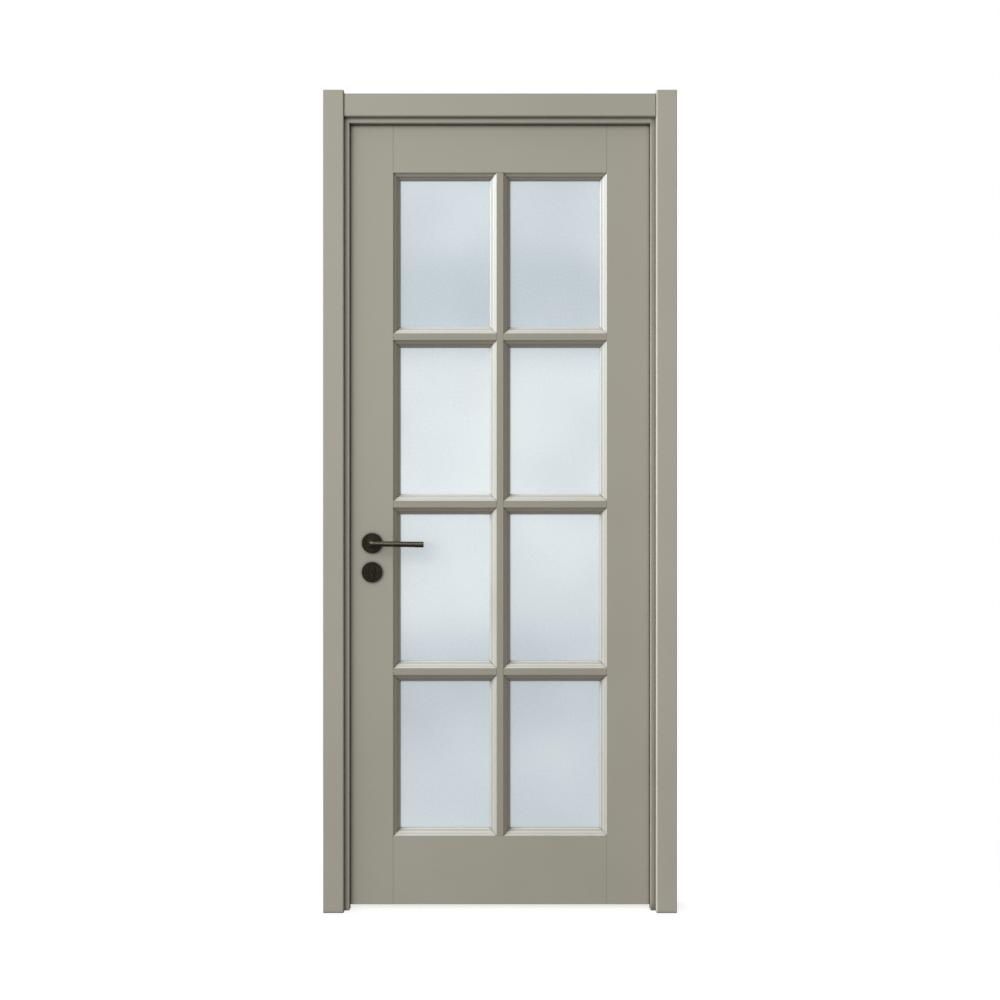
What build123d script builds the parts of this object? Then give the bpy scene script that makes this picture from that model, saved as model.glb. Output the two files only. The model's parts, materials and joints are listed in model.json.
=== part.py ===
"""Painted MDF interior door with eight frosted panes, hung in its lining with casings.

Millimetres, +Z up. The door is seen from its push side, looking along +Y, and swings away from
there on three butt hinges at +X. The origin is on the hinge jamb's wall face, at floor level, in
the middle of the wall's thickness.
"""

from build123d import *
import os

os.makedirs("parts", exist_ok=True)

# Leaf
leaf_w = 800.0
leaf_h = 2050.0
leaf_t = 40.0
stile_w = 120.0
top_rail_h = 132.0
bottom_rail_h = 180.0
bar_w = 18.0
rows = 4
columns = 2
board_arris = 0.5
lock_edge_bevel = 2.0

# Glass and the moulded beads that hold it
glass_t = 6.0
glass_edge_gap = 1.5
bead_step = 0.7
bead_shoulder_w = 2.8
bead_shoulder_fall = 2.6
bead_fillet_w = 2.8
bead_fillet_fall = 1.3
bead_crown_w = 5.8
bead_crown_fall = 5.0
bead_crown_r = 12.0
bead_ledge_w = 2.4
bead_ledge_fall = 0.7
bead_nose_w = 3.7
bead_nose_fall = 3.9

# Gaps round the leaf
floor_gap = 9.0
edge_gap = 5.0
stop_gap = 5.0

# Lining, stops and casings
jamb_t = 30.0
stop_t = 12.5
stop_depth = 15.0
casing_w = 53.0
casing_t = 20.0
head_casing_w = 59.0
head_casing_t = 15.0
casing_rise = 8.0
casing_arris = 2.0
front_reveal = 0.0
back_reveal = 10.0

# Butt hinges
hinge_h = 100.0
hinge_leaf_w = 30.0
hinge_leaf_t = 2.5
hinge_proud = 6.0
knuckles = 3
knuckle_r = 6.0
knuckle_gap = 0.4
pin_r = 3.0
pin_play = 0.05
pin_proud = 1.5
top_hinge_drop = 200.0
bottom_hinge_rise = 235.0

# Mortice lock and its strike
backset = 65.0
handle_z = 956.0
lock_centres = 72.0
faceplate_w = 20.0
faceplate_h = 235.0
faceplate_t = 3.0
case_t = 14.0
case_h = 165.0
case_depth = 90.0
case_rise = 7.0
case_play = 0.5
bolt_t = 11.0
latch_h = 24.0
latch_rise = 16.0
deadbolt_h = 32.0
deadbolt_rise = 22.0
bolt_groove_w = 0.6
bolt_groove_d = 1.5
strike_w = 24.0
strike_h = 170.0
strike_t = 2.0
bolt_play = 2.0
bolt_throw = 20.0

# Lever furniture
rose_r = 26.5
rose_t = 9.0
collar_r = 11.0
collar_h = 2.5
neck_r = 8.0
neck_play = 0.3
neck_rise = 2.0
spindle_side = 8.0
spindle_socket = 16.0
spindle_bore_r = 9.0
lever_stand = 57.0
lever_bend_r = 10.0
lever_reach = 138.0
lever_drop = 2.0
grip_r = 6.7
grip_tip_r = 7.5
escutcheon_drop = 4.0
cylinder_r = 8.5
cylinder_h = 33.0
cylinder_web = 10.0
cylinder_proud = 2.0
cylinder_play = 0.4
key_w = 1.8
key_h = 8.5
key_depth = 3.0

# Places worked out from the sizes above
wall_t = stop_depth + stop_gap + leaf_t
front_y = -wall_t / 2
back_y = wall_t / 2
leaf_front_y = back_y - leaf_t
leaf_mid_y = back_y - leaf_t / 2
centre_x = -(leaf_w / 2 + edge_gap + jamb_t)
hinge_edge_x = centre_x + leaf_w / 2
lock_edge_x = centre_x - leaf_w / 2
hinge_rebate_x = hinge_edge_x + edge_gap
lock_rebate_x = lock_edge_x - edge_gap
lock_wall_x = lock_rebate_x - jamb_t
leaf_bottom_z = floor_gap
leaf_top_z = leaf_bottom_z + leaf_h
head_z = leaf_top_z + edge_gap
head_top_z = head_z + jamb_t
rails_z0 = leaf_bottom_z + bottom_rail_h
rails_z1 = leaf_top_z - top_rail_h
rail_l = leaf_w - 2 * stile_w
pane_w = (rail_l - (columns - 1) * bar_w) / columns
pane_h = (rails_z1 - rails_z0 - (rows - 1) * bar_w) / rows
first_pane_x = lock_edge_x + stile_w
bead_d = (leaf_t - glass_t) / 2
pin_x = hinge_edge_x + edge_gap / 2
pin_y = back_y + hinge_proud
hinge_zs = (
    leaf_bottom_z + bottom_hinge_rise,
    leaf_bottom_z + (bottom_hinge_rise + leaf_h - top_hinge_drop) / 2,
    leaf_top_z - top_hinge_drop,
)
handle_x = lock_edge_x + backset
plug_z = handle_z - lock_centres
lock_mid_z = handle_z - lock_centres / 2 + case_rise
latch_z = handle_z + latch_rise
deadbolt_z = plug_z + deadbolt_rise
leaf_middle = Plane.XZ.offset(-leaf_mid_y)
leaf_face = Plane.XZ.offset(-leaf_front_y)


def save(part, name):
    """Labels one finished piece and writes it to its own file."""
    part.label = name
    export_step(part, f"parts/{name}.step")


def board(xs, ys, zs, arris=0.0):
    """A square-cut board between two corners, with the edges of its two faces eased."""
    with BuildPart() as piece:
        with BuildSketch(Plane.XZ.offset(-ys[0])):
            with Locations((sum(xs) / 2, sum(zs) / 2)):
                Rectangle(xs[1] - xs[0], zs[1] - zs[0])
        extrude(amount=ys[0] - ys[1])
        if arris:
            chamfer(piece.faces().filter_by(Axis.Y).edges(), arris)
    return piece.part


def column_xs(column):
    """The left and right edge of a column of panes, counted from the lock side."""
    left = first_pane_x + column * (pane_w + bar_w)
    return left, left + pane_w


def row_zs(row):
    """The lower and upper edge of a row of panes, counted from the top."""
    top = rails_z1 - row * (pane_h + bar_w)
    return top - pane_h, top


def save_mirrored(part, name):
    """Writes the piece's twin on the other face of the leaf."""
    with BuildPart() as twin:
        mirror(part, about=leaf_middle)
    save(twin.part, name)


def make_lining():
    """The jambs, with beds for the hinges and the strike, and the head between them."""
    with BuildPart() as hinge_jamb:
        add(board((hinge_rebate_x, 0), (front_y, back_y), (0, head_top_z)))
        for z in hinge_zs:
            with BuildSketch(Plane.YZ.offset(hinge_rebate_x)):
                with Locations((back_y - hinge_leaf_w / 2, z)):
                    Rectangle(hinge_leaf_w, hinge_h)
            extrude(amount=hinge_leaf_t, mode=Mode.SUBTRACT)
    save(hinge_jamb.part, "hinge_jamb")

    with BuildPart() as lock_jamb:
        add(board((lock_wall_x, lock_rebate_x), (front_y, back_y), (0, head_top_z)))
        with BuildSketch(Plane.YZ.offset(lock_rebate_x)):
            with Locations((leaf_mid_y, lock_mid_z)):
                Rectangle(strike_w, strike_h)
        extrude(amount=-strike_t, mode=Mode.SUBTRACT)
        with BuildSketch(Plane.YZ.offset(lock_rebate_x)):
            bolt_outlines(bolt_play)
        extrude(amount=-bolt_throw, mode=Mode.SUBTRACT)
    save(lock_jamb.part, "lock_jamb")

    head = board((lock_rebate_x, hinge_rebate_x), (front_y, back_y), (head_z, head_top_z))
    save(head, "head_jamb")


def make_stops():
    """Square stops planted on the lining, a gap in front of the leaf."""
    ys = (front_y, front_y + stop_depth)
    lock_xs = (lock_rebate_x, lock_rebate_x + stop_t)
    hinge_xs = (hinge_rebate_x - stop_t, hinge_rebate_x)
    save(board(lock_xs, ys, (0, head_z), board_arris), "lock_stop")
    save(board(hinge_xs, ys, (0, head_z), board_arris), "hinge_stop")
    head = board((lock_xs[1], hinge_xs[0]), ys, (head_z - stop_t, head_z), board_arris)
    save(head, "head_stop")


def make_casings(side, wall_y, out, reveal):
    """Casings on one face of the wall. The sides run past the head, which is thinner."""
    head_z0 = head_z + reveal
    head_z1 = head_z0 + head_casing_w
    side_zs = (0, head_z1 + casing_rise)
    side_ys = sorted((wall_y, wall_y + out * casing_t))
    head_ys = sorted((wall_y, wall_y + out * head_casing_t))
    hinge_x = hinge_rebate_x + reveal
    lock_x = lock_rebate_x - reveal
    hinge = board((hinge_x, hinge_x + casing_w), side_ys, side_zs, casing_arris)
    lock = board((lock_x - casing_w, lock_x), side_ys, side_zs, casing_arris)
    head = board((lock_x, hinge_x), head_ys, (head_z0, head_z1), casing_arris)
    save(hinge, f"{side}_hinge_casing")
    save(lock, f"{side}_lock_casing")
    save(head, f"{side}_head_casing")


def bolt_outlines(play=0.0, mode=Mode.ADD):
    """The latch and the dead bolt on a YZ plane, with play all round."""
    with Locations((leaf_mid_y, latch_z)):
        Rectangle(bolt_t + 2 * play, latch_h + 2 * play, mode=mode)
    with Locations((leaf_mid_y, deadbolt_z)):
        Rectangle(bolt_t + 2 * play, deadbolt_h + 2 * play, mode=mode)


def cylinder_outline(play=0.0):
    """The lock cylinder's keyed outline, drawn on an XZ plane round its plug's centre."""
    foot_r = cylinder_web / 2
    foot_z = plug_z - (cylinder_h - cylinder_r - foot_r)
    with Locations((handle_x, plug_z)):
        Circle(cylinder_r + play)
    with Locations((handle_x, foot_z)):
        Circle(foot_r + play)
    with Locations((handle_x, (plug_z + foot_z) / 2)):
        Rectangle(cylinder_web + 2 * play, plug_z - foot_z)


def make_stiles():
    """Full-height stiles: the lock one bevelled, mortised and bored, the other hinge-bedded."""
    with BuildPart() as lock_stile:
        with BuildSketch(Plane.XY.offset(leaf_bottom_z)):
            with BuildLine():
                Polyline(
                    (lock_edge_x + lock_edge_bevel, leaf_front_y),
                    (first_pane_x, leaf_front_y),
                    (first_pane_x, back_y),
                    (lock_edge_x, back_y),
                    close=True,
                )
            make_face()
        extrude(amount=leaf_h)
        chamfer(lock_stile.faces().filter_by(Axis.Y).edges(), board_arris)
        with BuildSketch(Plane.YZ.offset(lock_edge_x)):
            with Locations((leaf_mid_y, lock_mid_z)):
                Rectangle(faceplate_w, faceplate_h)
        extrude(amount=lock_edge_bevel + faceplate_t, mode=Mode.SUBTRACT)
        with BuildSketch(Plane.YZ.offset(lock_edge_x)):
            with Locations((leaf_mid_y, lock_mid_z)):
                Rectangle(case_t + 2 * case_play, case_h + 2 * case_play)
        extrude(amount=case_depth + case_play, mode=Mode.SUBTRACT)
        with BuildSketch(leaf_face):
            with Locations((handle_x, handle_z)):
                Circle(spindle_bore_r + case_play)
            cylinder_outline(cylinder_play)
        extrude(amount=-leaf_t, mode=Mode.SUBTRACT)
    save(lock_stile.part, "lock_stile")

    hinge_xs = (hinge_edge_x - stile_w, hinge_edge_x)
    leaf_zs = (leaf_bottom_z, leaf_top_z)
    with BuildPart() as hinge_stile:
        add(board(hinge_xs, (leaf_front_y, back_y), leaf_zs, board_arris))
        for z in hinge_zs:
            with BuildSketch(Plane.YZ.offset(hinge_edge_x)):
                with Locations((back_y - hinge_leaf_w / 2, z)):
                    Rectangle(hinge_leaf_w, hinge_h)
            extrude(amount=-hinge_leaf_t, mode=Mode.SUBTRACT)
    save(hinge_stile.part, "hinge_stile")


def make_rails_and_bars():
    """Rails between the stiles, the mullion between the rails, and bars butting on it."""
    ys = (leaf_front_y, back_y)
    rail_xs = (first_pane_x, first_pane_x + rail_l)
    bar_x = first_pane_x + pane_w
    save(board(rail_xs, ys, (rails_z1, leaf_top_z), board_arris), "top_rail")
    save(board(rail_xs, ys, (leaf_bottom_z, rails_z0), board_arris), "bottom_rail")
    save(board((bar_x, bar_x + bar_w), ys, (rails_z0, rails_z1), board_arris), "mullion")
    for row in range(rows - 1):
        foot = row_zs(row)[0]
        with BuildPart() as bars:
            for column in range(columns):
                add(board(column_xs(column), ys, (foot - bar_w, foot), board_arris))
        save(bars.part, f"glazing_bars_{row + 1}")


def bead_loop(xs, zs):
    """One pane's bead: a moulded strip swept round the opening, its corners mitred.

    The strip falls from the leaf's face by a shoulder, a fillet, a crown, a ledge and a nose, then
    square to the glass. Its outline stands on the opening's lower edge, where the sweep starts.
    """
    start_x = sum(xs) / 2
    face_y = leaf_front_y + bead_step
    shoulder = (face_y + bead_shoulder_fall, zs[0] + bead_shoulder_w)
    fillet_end = (shoulder[0] + bead_fillet_fall, shoulder[1] + bead_fillet_w)
    crown = (fillet_end[0] + bead_crown_fall, fillet_end[1] + bead_crown_w)
    ledge = (crown[0] + bead_ledge_fall, crown[1] + bead_ledge_w)
    nose = (ledge[0] + bead_nose_fall, ledge[1] + bead_nose_w)
    glass_y = leaf_front_y + bead_d
    with BuildPart() as bead:
        with BuildLine() as edge:
            Polyline(
                (start_x, face_y, zs[0]),
                (xs[1], face_y, zs[0]),
                (xs[1], face_y, zs[1]),
                (xs[0], face_y, zs[1]),
                (xs[0], face_y, zs[0]),
                close=True,
            )
        with BuildSketch(Plane.YZ.offset(start_x)):
            with BuildLine():
                RadiusArc(fillet_end, crown, bead_crown_r)
                Polyline(crown, ledge, nose, (glass_y, nose[1]), (glass_y, zs[0]),
                         (face_y, zs[0]), shoulder, fillet_end)
            make_face()
        sweep(path=edge.wire(), transition=Transition.RIGHT)
    return bead.part


def make_glazing():
    """A row at a time: two panes, and the beads that hold them on both faces."""
    for row in range(rows):
        zs = row_zs(row)
        with BuildPart() as glass:
            with BuildSketch(leaf_face.offset(-bead_d)):
                for column in range(columns):
                    with Locations((sum(column_xs(column)) / 2, sum(zs) / 2)):
                        Rectangle(pane_w - 2 * glass_edge_gap, pane_h - 2 * glass_edge_gap)
            extrude(amount=-glass_t)
        save(glass.part, f"glass_row_{row + 1}")
        with BuildPart() as beads:
            for column in range(columns):
                add(bead_loop(column_xs(column), zs))
        save(beads.part, f"front_beads_row_{row + 1}")
        save_mirrored(beads.part, f"back_beads_row_{row + 1}")


def hinge_half(z, face_x, into, turns):
    """A hinge leaf let in at face_x, with those of its knuckles that are counted in turns."""
    foot_z = z - hinge_h / 2
    pitch = hinge_h / knuckles
    leaf_x = face_x + into * hinge_leaf_t / 2
    with BuildPart() as half:
        with BuildSketch(Plane.XY.offset(foot_z)):
            with Locations((leaf_x, back_y - hinge_leaf_w / 2)):
                Rectangle(hinge_leaf_t, hinge_leaf_w)
        extrude(amount=hinge_h)
        for turn in turns:
            with BuildSketch(Plane.XY.offset(foot_z + turn * pitch + knuckle_gap / 2)):
                with Locations((leaf_x, (back_y + pin_y) / 2)):
                    Rectangle(hinge_leaf_t, hinge_proud)
                with Locations((pin_x, pin_y)):
                    Circle(knuckle_r)
                    Circle(pin_r + pin_play, mode=Mode.SUBTRACT)
            extrude(amount=pitch - knuckle_gap)
    return half.part


def make_hinges():
    """Three butt hinges, each a frame half, a leaf half and a pin through their knuckles."""
    with BuildPart() as frame_halves:
        for z in hinge_zs:
            add(hinge_half(z, hinge_rebate_x, 1, range(0, knuckles, 2)))
    save(frame_halves.part, "hinge_frame_halves")

    with BuildPart() as leaf_halves:
        for z in hinge_zs:
            add(hinge_half(z, hinge_edge_x, -1, range(1, knuckles, 2)))
    save(leaf_halves.part, "hinge_leaf_halves")

    with BuildPart() as pins:
        for z in hinge_zs:
            with BuildSketch(Plane.XY.offset(z - hinge_h / 2)):
                with Locations((pin_x, pin_y)):
                    Circle(pin_r)
            extrude(amount=hinge_h + pin_proud)
    save(pins.part, "hinge_pins")


def make_lock():
    """Case and faceplate in one, the bolts drawn in flush, and the keyed cylinder through it."""
    plate_x = lock_edge_x + lock_edge_bevel
    with BuildPart() as lock:
        with BuildSketch(Plane.YZ.offset(plate_x)):
            with Locations((leaf_mid_y, lock_mid_z)):
                Rectangle(faceplate_w, faceplate_h)
        extrude(amount=faceplate_t)
        with BuildSketch(Plane.YZ.offset(plate_x + faceplate_t)):
            with Locations((leaf_mid_y, lock_mid_z)):
                Rectangle(case_t, case_h)
        extrude(amount=case_depth - lock_edge_bevel - faceplate_t)
        with BuildSketch(Plane.YZ.offset(plate_x)):
            bolt_outlines(bolt_groove_w)
            bolt_outlines(mode=Mode.SUBTRACT)
        extrude(amount=bolt_groove_d, mode=Mode.SUBTRACT)
        with BuildSketch(leaf_face):
            with Locations((handle_x, handle_z)):
                Circle(spindle_bore_r)
            cylinder_outline()
        extrude(amount=-leaf_t, mode=Mode.SUBTRACT)
    save(lock.part, "lock_case")

    cylinder_half = leaf_t / 2 + rose_t + cylinder_proud
    with BuildPart() as cylinder:
        with BuildSketch(leaf_middle):
            cylinder_outline()
        extrude(amount=cylinder_half, both=True)
        for side in (1, -1):
            with BuildSketch(leaf_middle.offset(side * cylinder_half)):
                with Locations((handle_x, plug_z)):
                    Rectangle(key_w, key_h)
            extrude(amount=-side * key_depth, mode=Mode.SUBTRACT)
    save(cylinder.part, "lock_cylinder")

    with BuildPart() as strike:
        with BuildSketch(Plane.YZ.offset(lock_rebate_x)):
            with Locations((leaf_mid_y, lock_mid_z)):
                Rectangle(strike_w, strike_h)
            bolt_outlines(bolt_play, mode=Mode.SUBTRACT)
        extrude(amount=-strike_t)
    save(strike.part, "strike_plate")


def make_furniture():
    """A rose with its collar and a keyed escutcheon, on each face of the leaf."""
    with BuildPart() as rose:
        with BuildSketch(leaf_face):
            with Locations((handle_x, handle_z)):
                Circle(rose_r)
        extrude(amount=rose_t)
        with BuildSketch(leaf_face.offset(rose_t)):
            with Locations((handle_x, handle_z)):
                Circle(collar_r)
        extrude(amount=collar_h)
        with BuildSketch(leaf_face):
            with Locations((handle_x, handle_z)):
                Circle(neck_r + neck_play)
        extrude(amount=rose_t + collar_h, mode=Mode.SUBTRACT)
    save(rose.part, "front_rose")
    save_mirrored(rose.part, "back_rose")

    with BuildPart() as escutcheon:
        with BuildSketch(leaf_face):
            with Locations((handle_x, plug_z - escutcheon_drop)):
                Circle(rose_r)
        extrude(amount=rose_t)
        with BuildSketch(leaf_face):
            cylinder_outline(cylinder_play)
        extrude(amount=rose_t, mode=Mode.SUBTRACT)
    save(escutcheon.part, "front_escutcheon")
    save_mirrored(escutcheon.part, "back_escutcheon")


def make_lever():
    """Round-bar levers on one spindle. Each leaves its neck in a bend and swells to its tip."""
    neck_end_y = leaf_front_y - rose_t - collar_h - neck_rise
    bar_y = leaf_front_y - lever_stand + grip_r
    bend_y = bar_y + lever_bend_r
    tip_x = handle_x + lever_reach
    with BuildPart() as lever:
        with BuildSketch(leaf_face):
            with Locations((handle_x, handle_z)):
                Circle(neck_r)
        extrude(amount=leaf_front_y - neck_end_y)
        with BuildLine() as bend:
            Line((handle_x, neck_end_y, handle_z), (handle_x, bend_y, handle_z))
            RadiusArc((handle_x, bend_y, handle_z),
                      (handle_x + lever_bend_r, bar_y, handle_z), -lever_bend_r)
        with BuildSketch(Plane.XZ.offset(-neck_end_y)):
            with Locations((handle_x, handle_z)):
                Circle(grip_r)
        sweep(path=bend.wire())
        with BuildSketch(Plane.YZ.offset(handle_x + lever_bend_r)):
            with Locations((bar_y, handle_z)):
                Circle(grip_r)
        with BuildSketch(Plane.YZ.offset(tip_x)):
            with Locations((bar_y, handle_z - lever_drop)):
                Circle(grip_tip_r)
        loft()
        with BuildSketch(leaf_face):
            with Locations((handle_x, handle_z)):
                Rectangle(spindle_side, spindle_side)
        extrude(amount=spindle_socket, mode=Mode.SUBTRACT)
    save(lever.part, "front_lever")
    save_mirrored(lever.part, "back_lever")

    with BuildPart() as spindle:
        with BuildSketch(leaf_middle):
            with Locations((handle_x, handle_z)):
                Rectangle(spindle_side, spindle_side)
        extrude(amount=leaf_t / 2 + spindle_socket, both=True)
    save(spindle.part, "spindle")


make_lining()
make_stops()
make_casings("front", front_y, -1, front_reveal)
make_casings("back", back_y, 1, back_reveal)
make_stiles()
make_rails_and_bars()
make_glazing()
make_hinges()
make_lock()
make_furniture()
make_lever()
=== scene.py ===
"""Looks for a painted MDF door with frosted panes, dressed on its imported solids.

Metres, in the part's own frame: +Z up, the push side faces -Y, the hinges stand at +X.
"""

import json
import math

import bmesh
import bpy
from mathutils import Matrix, Vector


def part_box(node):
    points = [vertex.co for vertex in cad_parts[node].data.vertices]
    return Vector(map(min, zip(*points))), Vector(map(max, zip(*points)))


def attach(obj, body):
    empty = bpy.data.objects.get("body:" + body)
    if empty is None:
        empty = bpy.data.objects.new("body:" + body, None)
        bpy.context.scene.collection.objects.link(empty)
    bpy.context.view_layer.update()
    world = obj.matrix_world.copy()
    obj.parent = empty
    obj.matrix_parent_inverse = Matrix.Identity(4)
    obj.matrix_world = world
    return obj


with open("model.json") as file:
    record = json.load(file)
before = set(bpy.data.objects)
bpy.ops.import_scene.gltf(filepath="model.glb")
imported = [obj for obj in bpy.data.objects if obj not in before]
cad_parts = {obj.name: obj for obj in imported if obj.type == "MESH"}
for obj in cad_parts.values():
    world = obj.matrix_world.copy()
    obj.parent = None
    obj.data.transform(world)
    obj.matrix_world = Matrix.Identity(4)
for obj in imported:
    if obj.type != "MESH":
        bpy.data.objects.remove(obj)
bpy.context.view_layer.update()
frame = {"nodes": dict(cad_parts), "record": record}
nodes = frame["nodes"]
mm = 0.001

# Sizes of the hinges and the lock, as in the part's source
hinge_h = 100.0 * mm
pin_proud = 1.5 * mm
pin_r = 3.0 * mm
cylinder_r = 8.5 * mm

# The seal that closes the gap between the stops and the leaf
seal_w = 7.0 * mm
seal_proud = 1.2 * mm
seal_bulb_r = 2.2 * mm
seal_bulb_steps = 8

# A hinge pin's button, as reach in pin radii and rise in millimetres: waist, swell and low dome
button_outline = ((1.15, 0.0), (1.15, 0.5), (1.60, 0.9), (1.66, 1.5), (1.58, 2.1),
                  (1.25, 2.7), (0.60, 3.05))
button_sides = 28

# Screws on each hinge leaf, as rise from its middle and inset from the back of the door leaf
hinge_screw_r = 4.0 * mm
hinge_screw_places = ((-40.0 * mm, 10.0 * mm), (-14.0 * mm, 20.0 * mm),
                      (14.0 * mm, 10.0 * mm), (40.0 * mm, 20.0 * mm))

# Screws on the lock's faceplate and on the strike, as rise from the lock's middle
plate_screw_r = 3.6 * mm
faceplate_screw_rise = 108.0 * mm
strike_screw_rise = 76.0 * mm

# Each screw stops at a turn of its own, a step in radians on from the last one
hinge_turn_step = 0.7
plate_first_turn = 0.5
plate_turn_step = 0.9

# A screw head in shares of its radius: its outline as reach and rise, and its cross recess
head_outline = ((0.5, -0.55), (1.0, 0.02), (0.97, 0.12), (0.86, 0.26), (0.70, 0.34))
head_sides = 32
recess_arm = 0.52
recess_half_w = 0.10
recess_floor = -0.30
recess_taper = 0.72

# Corners of facets that lie closer than this are one
weld_gap = 0.01 * mm

# How far the arrises of each finish are eased, and the rounder rims of roses and escutcheons
arrises = {"painted_mdf": 0.4 * mm, "frosted_glass": 0.3 * mm, "dark_bronze": 0.35 * mm,
           "satin_steel": 0.2 * mm}
rose_rim = 1.2 * mm
arris_angle = math.radians(35)
arris_segments = 2

# Facets that bend less than this are one curve. Mouldings keep the creases between their forms
curve_bend = math.radians(40)
crown_bend = math.radians(12)

# Painted light in the glass: how light its colour is at each height, as shares of two metres up from
# the floor
painted_glow_span = 2.0
painted_glow_foot = (0.0, 0.45)
painted_glow_rise = ((0.18, 0.55), (0.295, 0.20), (0.42, 0.98), (0.69, 0.90), (0.79, 0.08), (0.89, 0.38))
painted_glow_head = (1.0, 0.40)

# The sheet of paper: its radius, how far under the door it lies, and the radii it fades between
paper_r = 2.0
paper_sides = 96
paper_drop = 0.2 * mm
paper_fade = (0.6, 1.6)

# How bright the white surround is as a light, and where it is lightest
lightest_way = (-0.62, -0.35, 0.70)
lightest = 0.80
darkest = 0.04

# What the lamps are aimed at: a height near the door's middle, and the push side's lever
middle_z = 1.05
lever_aim = (-0.73, -0.05, 0.95)

# The camera, level and square to the leaf, and how far it sees
camera_distance = 3.0
camera_h = 1.069
lens_mm = 41.2
sensor_mm = 36.0
sight = 60.0

# Where the fittings stand, read from the frame
leaf_low, leaf_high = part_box("hinge_stile")
lock_low, lock_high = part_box("lock_case")
pins_low, pins_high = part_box("hinge_pins")
leaf_front_y, back_y = leaf_low.y, leaf_high.y
hinge_edge_x = leaf_high.x
hinge_rebate_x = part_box("hinge_jamb")[0].x
strike_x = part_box("strike_plate")[1].x
faceplate_x = lock_low.x
leaf_mid_y = (lock_low.y + lock_high.y) / 2
lock_mid_z = (lock_low.z + lock_high.z) / 2
plug_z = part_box("lock_cylinder")[1].z - cylinder_r
pin_x, pin_y = (pins_low.x + pins_high.x) / 2, (pins_low.y + pins_high.y) / 2
low_hinge_z = pins_low.z + hinge_h / 2
high_hinge_z = pins_high.z - pin_proud - hinge_h / 2
hinge_zs = (low_hinge_z, (low_hinge_z + high_hinge_z) / 2, high_hinge_z)
middle_x = (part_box("lock_jamb")[0].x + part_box("hinge_jamb")[1].x) / 2


def linear(hex_colour):
    """An sRGB hex colour as linear red, green, blue and alpha."""
    channels = [int(hex_colour[i:i + 2], 16) / 255 for i in (1, 3, 5)]
    return (*[c / 12.92 if c <= 0.04045 else ((c + 0.055) / 1.055) ** 2.4 for c in channels], 1.0)


def add_node(tree, kind, sockets=None, **settings):
    """Adds a node with its settings, and gives its sockets their values or links."""
    node = tree.nodes.new(kind)
    for name, value in settings.items():
        setattr(node, name, value)
    for socket, value in (sockets or {}).items():
        if isinstance(value, bpy.types.NodeSocket):
            tree.links.new(value, node.inputs[socket])
        else:
            node.inputs[socket].default_value = value
    return node


def new_material(name):
    """An empty material with its node tree and the output that its shader goes to."""
    material = bpy.data.materials.new(name)
    material.use_nodes = True
    tree = material.node_tree
    tree.nodes.clear()
    return material, tree, add_node(tree, "ShaderNodeOutputMaterial")


def satin_paint_on_mdf(name, thin, full, reach, shut, clear):
    """Water-based satin paint, sprayed on sanded MDF: a soft sheen over a faint orange peel.

    Thin and full are its colours where the coat is thin and where it is full. Its colour also
    carries painted shade within reach of a corner: darkest where the corner is as closed as shut, none
    from clear on.
    """
    material, tree, output = new_material(name)
    place = add_node(tree, "ShaderNodeTexCoord").outputs["Object"]
    # Passes of the spray gun overlap about every 250 mm
    passes = add_node(tree, "ShaderNodeTexNoise", {
        "Vector": place, "Scale": 1 / (250 * mm), "Detail": 2.0, "Roughness": 0.5})
    # Pooled and thin spots some 12 mm across
    spots = add_node(tree, "ShaderNodeTexNoise", {
        "Vector": place, "Scale": 1 / (12 * mm), "Detail": 3.0, "Roughness": 0.6})
    both = add_node(tree, "ShaderNodeMix", {
        "Factor": 0.3, "A": passes.outputs["Fac"], "B": spots.outputs["Fac"]}, data_type="FLOAT")
    tone = add_node(tree, "ShaderNodeValToRGB", {"Fac": both.outputs["Result"]})
    tone.color_ramp.elements[0].position = 0.3
    tone.color_ramp.elements[0].color = linear(thin)
    tone.color_ramp.elements[1].position = 0.7
    tone.color_ramp.elements[1].color = linear(full)
    # The sheen is duller where the coat is full
    sheen = add_node(tree, "ShaderNodeMapRange", {
        "Value": both.outputs["Result"], "From Min": 0.3, "From Max": 0.7,
        "To Min": 0.50, "To Max": 0.58})
    # Orange peel is really about 1.5 mm; it is drawn at 5 mm so that it shows
    peel = add_node(tree, "ShaderNodeTexNoise", {
        "Vector": place, "Scale": 1 / (5 * mm), "Detail": 1.5, "Roughness": 0.5})
    skin = add_node(tree, "ShaderNodeBump", {
        "Height": peel.outputs["Fac"], "Strength": 0.12, "Distance": 0.10 * mm})
    # Painted shade: the colour darkens in quirks, in corners and along gaps, the more closed they are
    # within reach
    corners = add_node(tree, "ShaderNodeAmbientOcclusion", {"Distance": reach}, samples=8)
    painted_corner_shade = add_node(tree, "ShaderNodeMapRange", {
        "Value": corners.outputs["AO"], "From Min": shut, "From Max": clear,
        "To Min": 0.25, "To Max": 1.0})
    shade = add_node(tree, "ShaderNodeVectorMath", {
        0: tone.outputs["Color"], "Scale": painted_corner_shade.outputs["Result"]}, operation="SCALE")
    paint = add_node(tree, "ShaderNodeBsdfPrincipled", {
        "Base Color": shade.outputs["Vector"], "Roughness": sheen.outputs["Result"],
        "Normal": skin.outputs["Normal"], "IOR": 1.5})
    tree.links.new(paint.outputs["BSDF"], output.inputs["Surface"])
    return material


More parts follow.
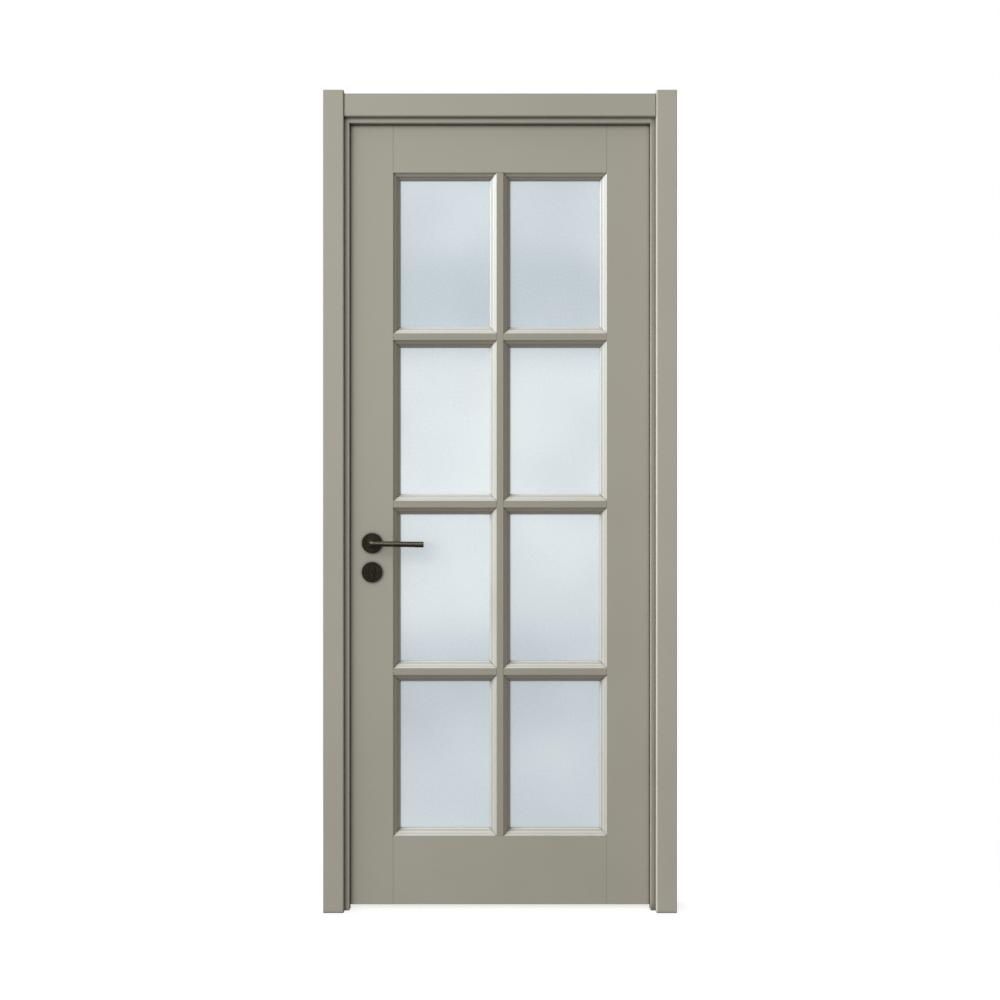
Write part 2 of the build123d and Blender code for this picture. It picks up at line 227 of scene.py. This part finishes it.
def etched_glass():
    """Float glass, acid-etched on one face: milky, pale blue-grey, with a fine tooth."""
    material, tree, output = new_material("acid_etched_float_glass")
    place = add_node(tree, "ShaderNodeTexCoord").outputs["Object"]
    # Painted light: the glass is lightest over the middle rows, as a painted glow of light from
    # behind, darker below them and once more above
    height = add_node(tree, "ShaderNodeSeparateXYZ", {"Vector": place}).outputs["Z"]
    share = add_node(tree, "ShaderNodeMath", {0: height, 1: painted_glow_span}, operation="DIVIDE")
    painted_glow_by_height = add_node(tree, "ShaderNodeFloatCurve", {"Value": share.outputs["Value"]})
    curve = painted_glow_by_height.mapping.curves[0]
    curve.points[0].location = painted_glow_foot
    curve.points[1].location = painted_glow_head
    for at_height, amount in painted_glow_rise:
        curve.points.new(at_height, amount)
    painted_glow_by_height.mapping.update()
    # Clouds some 300 mm across, and an uneven etch over some 7 mm
    clouds = add_node(tree, "ShaderNodeTexNoise", {
        "Vector": place, "Scale": 1 / (300 * mm), "Detail": 1.0, "Roughness": 0.5})
    mottle = add_node(tree, "ShaderNodeTexNoise", {
        "Vector": place, "Scale": 1 / (7 * mm), "Detail": 4.0, "Roughness": 0.6})
    blend = add_node(tree, "ShaderNodeMix", {
        "Factor": 0.35, "A": clouds.outputs["Fac"], "B": mottle.outputs["Fac"]},
        data_type="FLOAT")
    uneven = add_node(tree, "ShaderNodeMapRange", {
        "Value": blend.outputs["Result"], "From Min": 0.4, "From Max": 0.6})
    both = add_node(tree, "ShaderNodeMix", {
        "Factor": 0.27, "A": painted_glow_by_height.outputs["Value"], "B": uneven.outputs["Result"]},
        data_type="FLOAT")
    tone = add_node(tree, "ShaderNodeValToRGB", {"Fac": both.outputs["Result"]})
    tone.color_ramp.elements[0].position = 0.0
    tone.color_ramp.elements[0].color = linear("#C4D0D9")
    tone.color_ramp.elements[1].position = 1.0
    tone.color_ramp.elements[1].color = linear("#F4FCFF")
    # The etch's tooth is well under 1 mm; it is drawn at 4 mm so that it shows
    tooth = add_node(tree, "ShaderNodeTexNoise", {
        "Vector": place, "Scale": 1 / (4 * mm), "Detail": 2.0, "Roughness": 0.6})
    skin = add_node(tree, "ShaderNodeBump", {
        "Height": tooth.outputs["Fac"], "Strength": 0.35, "Distance": 0.25 * mm})
    # The etch scatters most of the light, and lets a little through
    glass = add_node(tree, "ShaderNodeBsdfPrincipled", {
        "Base Color": tone.outputs["Color"], "Roughness": 0.5, "IOR": 1.52,
        "Transmission Weight": 0.12, "Normal": skin.outputs["Normal"]})
    tree.links.new(glass.outputs["BSDF"], output.inputs["Surface"])
    return material


def antique_bronze():
    """Cast brass, chemically darkened and lacquered: near black, mottled, with a soft gleam."""
    material, tree, output = new_material("antique_bronze_darkened_and_lacquered")
    place = add_node(tree, "ShaderNodeTexCoord").outputs["Object"]
    # The darkening takes unevenly, in patches 4 mm across
    patches = add_node(tree, "ShaderNodeTexNoise", {
        "Vector": place, "Scale": 1 / (4 * mm), "Detail": 4.0, "Roughness": 0.65})
    tone = add_node(tree, "ShaderNodeValToRGB", {"Fac": patches.outputs["Fac"]})
    tone.color_ramp.elements[0].position = 0.35
    tone.color_ramp.elements[0].color = linear("#26221B")
    tone.color_ramp.elements[1].position = 0.72
    tone.color_ramp.elements[1].color = linear("#453F34")
    # The warmer, lighter patches shine less
    sheen = add_node(tree, "ShaderNodeMapRange", {
        "Value": patches.outputs["Fac"], "From Min": 0.3, "From Max": 0.7,
        "To Min": 0.34, "To Max": 0.52})
    skin = add_node(tree, "ShaderNodeBump", {
        "Height": patches.outputs["Fac"], "Strength": 0.12, "Distance": 0.15 * mm})
    bronze = add_node(tree, "ShaderNodeBsdfPrincipled", {
        "Base Color": tone.outputs["Color"], "Metallic": 0.9,
        "Roughness": sheen.outputs["Result"], "Normal": skin.outputs["Normal"]})
    tree.links.new(bronze.outputs["BSDF"], output.inputs["Surface"])
    return material


def brushed_nickel():
    """Steel plate, brushed lengthwise and nickel plated: pale and warm, with long scratches."""
    material, tree, output = new_material("nickel_plate_brushed")
    place = add_node(tree, "ShaderNodeTexCoord").outputs["Object"]
    # Scratches 0.4 mm wide and 60 mm long, drawn a little coarser than real ones
    along = add_node(tree, "ShaderNodeMapping", {
        "Vector": place, "Scale": (1 / (0.4 * mm), 1 / (0.4 * mm), 1 / (60 * mm))})
    scratches = add_node(tree, "ShaderNodeTexNoise", {
        "Vector": along.outputs["Vector"], "Scale": 1.0, "Detail": 3.0, "Roughness": 0.6})
    tone = add_node(tree, "ShaderNodeValToRGB", {"Fac": scratches.outputs["Fac"]})
    tone.color_ramp.elements[0].position = 0.3
    tone.color_ramp.elements[0].color = linear("#A9A69F")
    tone.color_ramp.elements[1].position = 0.7
    tone.color_ramp.elements[1].color = linear("#C4C1BA")
    sheen = add_node(tree, "ShaderNodeMapRange", {
        "Value": scratches.outputs["Fac"], "From Min": 0.3, "From Max": 0.7,
        "To Min": 0.26, "To Max": 0.40})
    nickel = add_node(tree, "ShaderNodeBsdfPrincipled", {
        "Base Color": tone.outputs["Color"], "Metallic": 1.0,
        "Roughness": sheen.outputs["Result"]})
    tree.links.new(nickel.outputs["BSDF"], output.inputs["Surface"])
    return material


def extruded_rubber():
    """Synthetic rubber, extruded: soft black-brown with a dull bloom, and almost no shine."""
    material, tree, output = new_material("synthetic_rubber_extruded")
    place = add_node(tree, "ShaderNodeTexCoord").outputs["Object"]
    # The bloom lies in streaks 2 mm across and 80 mm long
    along = add_node(tree, "ShaderNodeMapping", {
        "Vector": place, "Scale": (1 / (2 * mm), 1 / (2 * mm), 1 / (80 * mm))})
    bloom = add_node(tree, "ShaderNodeTexNoise", {
        "Vector": along.outputs["Vector"], "Scale": 1.0, "Detail": 2.0, "Roughness": 0.5})
    tone = add_node(tree, "ShaderNodeValToRGB", {"Fac": bloom.outputs["Fac"]})
    tone.color_ramp.elements[0].position = 0.3
    tone.color_ramp.elements[0].color = linear("#1B1915")
    tone.color_ramp.elements[1].position = 0.7
    tone.color_ramp.elements[1].color = linear("#29261F")
    rubber = add_node(tree, "ShaderNodeBsdfPrincipled", {
        "Base Color": tone.outputs["Color"], "Roughness": 0.75, "IOR": 1.5})
    tree.links.new(rubber.outputs["BSDF"], output.inputs["Surface"])
    return material


def studio_paper():
    """Matt background paper, lit from below as well, that fades out towards its rim."""
    material, tree, output = new_material("matt_studio_paper")
    place = add_node(tree, "ShaderNodeTexCoord").outputs["Object"]
    reach = add_node(tree, "ShaderNodeVectorMath", {0: place, 1: (-middle_x, 0.0, 0.0)})
    length = add_node(tree, "ShaderNodeVectorMath", {0: reach.outputs["Vector"]},
                      operation="LENGTH")
    fade = add_node(tree, "ShaderNodeMapRange", {
        "Value": length.outputs["Value"], "From Min": paper_fade[0], "From Max": paper_fade[1],
        "To Min": 0.0, "To Max": 1.0}, interpolation_type="SMOOTHSTEP")
    paper = add_node(tree, "ShaderNodeBsdfPrincipled", {
        "Base Color": linear("#B4B3B1"), "Roughness": 0.9,
        "Emission Color": linear("#FFFFFF"), "Emission Strength": 0.55})
    clear = add_node(tree, "ShaderNodeBsdfTransparent")
    surface = add_node(tree, "ShaderNodeMixShader", {
        0: fade.outputs["Result"], 1: paper.outputs["BSDF"], 2: clear.outputs["BSDF"]})
    tree.links.new(surface.outputs["Shader"], output.inputs["Surface"])
    return material


def smoothing_nodes(name, bend_limit):
    """Geometry nodes that shade smooth across edges that bend less than a limit."""
    tree = bpy.data.node_groups.new(name, "GeometryNodeTree")
    tree.is_modifier = True
    tree.interface.new_socket("Geometry", in_out="INPUT", socket_type="NodeSocketGeometry")
    tree.interface.new_socket("Geometry", in_out="OUTPUT", socket_type="NodeSocketGeometry")
    start = add_node(tree, "NodeGroupInput")
    # The solids come with normals of their own, which would hide the eased arrises
    bare = add_node(tree, "GeometryNodeRemoveAttribute", {
        "Geometry": start.outputs["Geometry"], "Name": "custom_normal"})
    faces = add_node(tree, "GeometryNodeSetShadeSmooth", {
        "Geometry": bare.outputs["Geometry"], "Shade Smooth": True}, domain="FACE")
    bend = add_node(tree, "GeometryNodeInputMeshEdgeAngle")
    gentle = add_node(tree, "FunctionNodeCompare", {
        "A": bend.outputs["Unsigned Angle"], "B": bend_limit},
        data_type="FLOAT", operation="LESS_THAN")
    edges = add_node(tree, "GeometryNodeSetShadeSmooth", {
        "Geometry": faces.outputs["Geometry"], "Shade Smooth": gentle.outputs["Result"]},
        domain="EDGE")
    add_node(tree, "NodeGroupOutput", {"Geometry": edges.outputs["Geometry"]})
    return tree


def smooth_curves(thing, smoothing):
    """Shades the curves of a solid or piece smooth."""
    smooth = thing.modifiers.new("smooth curves", "NODES")
    smooth.node_group = smoothing


def finish_node(name, material, arris, smoothing):
    """Gives a solid its material, welds its facets, eases its arrises and smooths its curves."""
    node = nodes[name]
    node.data.materials.clear()
    node.data.materials.append(material)
    weld = node.modifiers.new("weld facets", "WELD")
    weld.merge_threshold = weld_gap
    if arris:
        bevel = node.modifiers.new("eased arrises", "BEVEL")
        bevel.limit_method = "ANGLE"
        bevel.angle_limit = arris_angle
        bevel.width = arris
        bevel.segments = arris_segments
        bevel.use_clamp_overlap = True
    smooth_curves(node, smoothing)
    flats = node.modifiers.new("true flats", "WEIGHTED_NORMAL")
    flats.keep_sharp = True


def new_piece(name, shape, material, body):
    """A separate piece from a bmesh, riding on a body of the part."""
    mesh = bpy.data.meshes.new(name)
    shape.normal_update()
    shape.to_mesh(mesh)
    shape.free()
    piece = bpy.data.objects.new(name, mesh)
    bpy.context.scene.collection.objects.link(piece)
    mesh.materials.append(material)
    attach(piece, body)
    return piece


def wall_between(shape, loops):
    """Faces between each loop of vertices and the next, all the way round."""
    count = len(loops[0])
    for lower, upper in zip(loops, loops[1:]):
        for i in range(count):
            j = (i + 1) % count
            shape.faces.new((lower[i], lower[j], upper[j], upper[i]))


def ring_angles(sides):
    """The angles of a ring's corners."""
    return [2 * math.pi * i / sides for i in range(sides)]


def screw_head(shape, seat, outward, radius, turn):
    """A raised countersunk head with a cross recess, let into the plate as far as its rim."""
    z_axis = Vector(outward)
    x_axis = z_axis.orthogonal().normalized()
    y_axis = z_axis.cross(x_axis)
    facing = Matrix((x_axis, y_axis, z_axis)).transposed().to_4x4()
    spin = Matrix.Rotation(turn, 4, "Z")
    place = Matrix.Translation(seat) @ facing @ spin @ Matrix.Scale(radius, 4)
    loops = [[shape.verts.new(place @ Vector((reach * math.cos(a), reach * math.sin(a), rise)))
              for a in ring_angles(head_sides)] for reach, rise in head_outline]
    wall_between(shape, loops)
    # The recess: a cross of twelve corners, narrower at its floor
    corners = []
    for quarter in range(4):
        arm = Matrix.Rotation(quarter * math.pi / 2, 3, "Z")
        for x, y in ((recess_half_w, recess_half_w), (recess_arm, recess_half_w),
                     (recess_arm, -recess_half_w)):
            corners.append(arm @ Vector((x, y, 0)))
    corners.sort(key=lambda p: math.atan2(p.y, p.x))
    crown = head_outline[-1][1]
    top = [shape.verts.new(place @ Vector((p.x, p.y, crown))) for p in corners]
    bottom = [shape.verts.new(place @ Vector((p.x * recess_taper, p.y * recess_taper, recess_floor)))
              for p in corners]
    rim = [shape.edges.get(pair) for pair in zip(loops[-1], loops[-1][1:] + loops[-1][:1])]
    lip = [shape.edges.new(pair) for pair in zip(top, top[1:] + top[:1])]
    bmesh.ops.triangle_fill(shape, use_beauty=True, edges=rim + lip, normal=z_axis)
    wall_between(shape, (bottom, top))
    shape.faces.new(bottom)
    shape.faces.new(list(reversed(loops[0])))


def hinge_screws(name, plate_x, outward, body, material):
    """Four screws, staggered, on one leaf of each hinge."""
    shape = bmesh.new()
    seats = [Vector((plate_x, back_y - inset, z + rise))
             for z in hinge_zs for rise, inset in hinge_screw_places]
    for n, seat in enumerate(seats):
        screw_head(shape, seat, (outward, 0, 0), hinge_screw_r, hinge_turn_step * n)
    new_piece(name, shape, material, body)


def plate_screws(name, plate_x, outward, zs, body, material):
    """Screws down the middle of the lock's faceplate or of the strike."""
    shape = bmesh.new()
    for n, z in enumerate(zs):
        turn = plate_first_turn + plate_turn_step * n
        screw_head(shape, Vector((plate_x, leaf_mid_y, z)), (outward, 0, 0), plate_screw_r, turn)
    new_piece(name, shape, material, body)


def turned(shape, outline, axis, sides):
    """A solid turned round a vertical axis from an outline of radius and height."""
    loops = [[shape.verts.new((axis[0] + radius * math.cos(a), axis[1] + radius * math.sin(a), z))
              for a in ring_angles(sides)] for radius, z in outline]
    wall_between(shape, loops)
    shape.faces.new(list(reversed(loops[0])))
    shape.faces.new(loops[-1])


def pin_buttons(material, smoothing):
    """Turned buttons on both ends of each hinge pin: a waist at the knuckle, then a low dome."""
    shape = bmesh.new()
    for z in hinge_zs:
        for way in (1, -1):
            end_z = z + way * hinge_h / 2
            outline = [(reach * pin_r, end_z + way * rise * mm) for reach, rise in button_outline]
            turned(shape, outline, (pin_x, pin_y), button_sides)
    bmesh.ops.recalc_face_normals(shape, faces=shape.faces)
    smooth_curves(new_piece("hinge_pin_buttons", shape, material, "frame"), smoothing)


def stop_seal(material, smoothing):
    """A soft bulb seal behind the edges of the three stops, mitred at the head, off the leaf."""
    lock_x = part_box("lock_stop")[1].x
    hinge_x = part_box("hinge_stop")[0].x
    foot_z, head_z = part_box("lock_stop")[0].z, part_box("head_stop")[0].z
    stop_back_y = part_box("head_stop")[1].y
    # Its section, as how far it stands in from the stop's edge and where it lies in depth
    section = [(seal_proud - seal_w, stop_back_y)]
    for step in range(seal_bulb_steps + 1):
        turn = math.pi * step / seal_bulb_steps - math.pi / 2
        section.append((seal_proud - seal_bulb_r + seal_bulb_r * math.cos(turn),
                        stop_back_y + seal_bulb_r + seal_bulb_r * math.sin(turn)))
    section.append((seal_proud - seal_w, stop_back_y + 2 * seal_bulb_r))
    shape = bmesh.new()
    loops = [[shape.verts.new((lock_x + inward, y, foot_z)) for inward, y in section],
             [shape.verts.new((lock_x + inward, y, head_z - inward)) for inward, y in section],
             [shape.verts.new((hinge_x - inward, y, head_z - inward)) for inward, y in section],
             [shape.verts.new((hinge_x - inward, y, foot_z)) for inward, y in section]]
    wall_between(shape, loops)
    shape.faces.new(loops[0])
    shape.faces.new(list(reversed(loops[-1])))
    bmesh.ops.recalc_face_normals(shape, faces=shape.faces)
    smooth_curves(new_piece("stop_seal", shape, material, "frame"), smoothing)


def lay_floor():
    """A round sheet of pale paper under the door."""
    shape = bmesh.new()
    bmesh.ops.create_circle(shape, cap_ends=True, segments=paper_sides, radius=paper_r)
    bmesh.ops.translate(shape, verts=shape.verts, vec=(middle_x, 0.0, -paper_drop))
    mesh = bpy.data.meshes.new("studio_floor")
    shape.to_mesh(mesh)
    shape.free()
    floor = bpy.data.objects.new("studio_floor", mesh)
    bpy.context.scene.collection.objects.link(floor)
    mesh.materials.append(studio_paper())
    # The paper shows, but throws no light back on the door
    floor.visible_diffuse = False
    floor.visible_glossy = False
    return floor


def softbox(name, place, aim, size, watts):
    """A flat lamp with a soft front, at a place and aimed at a point."""
    light = bpy.data.lights.new(name, "AREA")
    light.shape = "RECTANGLE"
    light.size, light.size_y = size
    light.energy = watts
    lamp = bpy.data.objects.new(name, light)
    bpy.context.scene.collection.objects.link(lamp)
    lamp.location = place
    lamp.rotation_euler = (Vector(aim) - Vector(place)).to_track_quat("-Z", "Y").to_euler()
    return lamp


def group(name, things):
    """A collection that only light linking uses."""
    collection = bpy.data.collections.new(name)
    for thing in things:
        collection.objects.link(thing)
    return collection


def light_only(lamp, things, shaded_by=None):
    """Keeps a lamp's light to some things, and the shadows in it to those of others."""
    lamp.light_linking.receiver_collection = group(lamp.name + "_falls_on", things)
    if shaded_by is not None:
        lamp.light_linking.blocker_collection = group(lamp.name + "_shaded_by", shaded_by)


def light_studio(floor):
    """A broad key on the flat work, a steep one on mouldings and furniture, and fill from behind."""
    middle = (middle_x, 0.0, middle_z)
    mouldings = [node for name, node in nodes.items() if "beads" in name]
    furniture = [nodes[name] for name in ("front_rose", "front_escutcheon", "lock_cylinder",
                                          "front_lever")]
    flat_work = [node for node in nodes.values() if node not in mouldings + furniture]
    key = softbox("key", place=(-2.50, -4.90, 2.50), aim=middle, size=(4.6, 3.8), watts=167)
    light_only(key, flat_work + [floor])
    # From up on the left it picks out each form of the mouldings, a little cool as daylight is
    rake = softbox("moulding_key", place=(-4.70, -1.90, 4.60), aim=middle, size=(1.8, 1.8), watts=742)
    rake.data.color = (0.87, 0.98, 1.16)
    light_only(rake, mouldings + furniture)
    # The line of light along the top of the lever
    top = softbox("lever_top_light", place=(-0.9, -2.1, 2.3), aim=lever_aim, size=(1.6, 2.4), watts=78)
    light_only(top, [nodes["front_lever"]])
    # The bright edges of the casing and the stop on the hinge side, which face left
    edge = softbox("side_light", place=(-6.4, -0.60, 1.6), aim=middle, size=(0.8, 2.4), watts=500)
    light_only(edge, [nodes["front_hinge_casing"], nodes["hinge_stop"]], shaded_by=[floor])
    wash = softbox("floor_wash", place=(middle_x, -0.6, 4.0), aim=(middle_x, 0.0, 0.0),
                   size=(3.0, 2.0), watts=66)
    light_only(wash, [floor], shaded_by=[floor])
    softbox("back_left", place=(-3.2, 3.6, 2.4), aim=middle, size=(3.0, 3.0), watts=95)
    softbox("back_right", place=(2.6, 3.4, 1.8), aim=middle, size=(2.2, 2.2), watts=45)


def white_surround():
    """White as the camera sees it, but dimmer as a light, and brightest from one way."""
    world = bpy.data.worlds.new("white_studio")
    bpy.context.scene.world = world
    world.use_nodes = True
    tree = world.node_tree
    tree.nodes.clear()
    # The studio is lightest up on the left and towards the camera, and dark down on the right
    way = add_node(tree, "ShaderNodeTexCoord").outputs["Generated"]
    lean = add_node(tree, "ShaderNodeVectorMath", {0: way, 1: lightest_way},
                    operation="DOT_PRODUCT")
    glow = add_node(tree, "ShaderNodeMapRange", {
        "Value": lean.outputs["Value"], "From Min": -1.0, "From Max": 1.0,
        "To Min": darkest, "To Max": lightest})
    seen = add_node(tree, "ShaderNodeLightPath")
    strength = add_node(tree, "ShaderNodeMix", {
        "Factor": seen.outputs["Is Camera Ray"], "A": glow.outputs["Result"], "B": 1.0},
        data_type="FLOAT")
    white = add_node(tree, "ShaderNodeBackground", {
        "Color": (1.0, 1.0, 1.0, 1.0), "Strength": strength.outputs["Result"]})
    add_node(tree, "ShaderNodeOutputWorld", {"Surface": white.outputs["Background"]})


def place_camera():
    """Square to the door, level with its middle, three metres in front of its leaf."""
    lens = bpy.data.cameras.new("camera")
    lens.lens = lens_mm
    lens.sensor_width = sensor_mm
    lens.clip_end = sight
    camera = bpy.data.objects.new("camera", lens)
    bpy.context.scene.collection.objects.link(camera)
    camera.location = (middle_x, leaf_front_y - camera_distance, camera_h)
    camera.rotation_euler = (math.radians(90), 0.0, 0.0)
    bpy.context.scene.camera = camera


# Each paint darkens its colour near corners and gaps as painted shade, within its own reach
paint = satin_paint_on_mdf("satin_paint_sprayed_on_mdf", "#9C988A", "#A19D90",
                           reach=10 * mm, shut=0.25, clear=0.9)
moulding_paint = satin_paint_on_mdf("satin_paint_sprayed_on_mouldings", "#A19B8A", "#A6A091",
                                    reach=4 * mm, shut=0.78, clear=0.97)
# Painted shade: the bars and the mullion between the mouldings take a colour a shade darker than the
# stiles
bar_paint_with_painted_shade = satin_paint_on_mdf("satin_paint_on_mdf_bars_with_painted_shade", "#938F81", "#989486",
                               reach=10 * mm, shut=0.25, clear=0.9)
# Painted shade: the hinge stop lies in the corner of its casing, so its colour is darker and shaded
# across its whole width
stop_paint_with_painted_shade = satin_paint_on_mdf("satin_paint_on_mdf_with_painted_corner_shade", "#938F81", "#989486",
                                reach=30 * mm, shut=0.25, clear=0.9)
bronze = antique_bronze()
nickel = brushed_nickel()
finishes = {"painted_mdf": paint, "frosted_glass": etched_glass(), "dark_bronze": bronze,
            "satin_steel": nickel}
smoothing = smoothing_nodes("smooth_by_bend", curve_bend)
moulding_smoothing = smoothing_nodes("smooth_crowns_only", crown_bend)
for part in frame["record"]["subparts"]:
    name, slot = part["node"], part["material_slot"]
    arris = rose_rim if name.endswith(("rose", "escutcheon")) else arrises[slot]
    if "beads" in name:
        finish_node(name, moulding_paint, None, moulding_smoothing)
    elif "bar" in name or name == "mullion":
        finish_node(name, bar_paint_with_painted_shade, arris, smoothing)
    elif name == "hinge_stop":
        finish_node(name, stop_paint_with_painted_shade, arris, smoothing)
    else:
        finish_node(name, finishes[slot], arris, smoothing)

pin_buttons(bronze, smoothing)
stop_seal(extruded_rubber(), smoothing)
hinge_screws("hinge_frame_screws", hinge_rebate_x, -1, "frame", bronze)
hinge_screws("hinge_leaf_screws", hinge_edge_x, 1, "leaf", bronze)
# The faceplate's middle screw is the one that holds the cylinder
faceplate_zs = (lock_mid_z - faceplate_screw_rise, plug_z, lock_mid_z + faceplate_screw_rise)
strike_zs = (lock_mid_z - strike_screw_rise, lock_mid_z + strike_screw_rise)
plate_screws("faceplate_screws", faceplate_x, -1, faceplate_zs, "leaf", nickel)
plate_screws("strike_screws", strike_x, 1, strike_zs, "frame", nickel)

light_studio(lay_floor())
white_surround()
place_camera()
bpy.context.scene.view_settings.view_transform = "Standard"
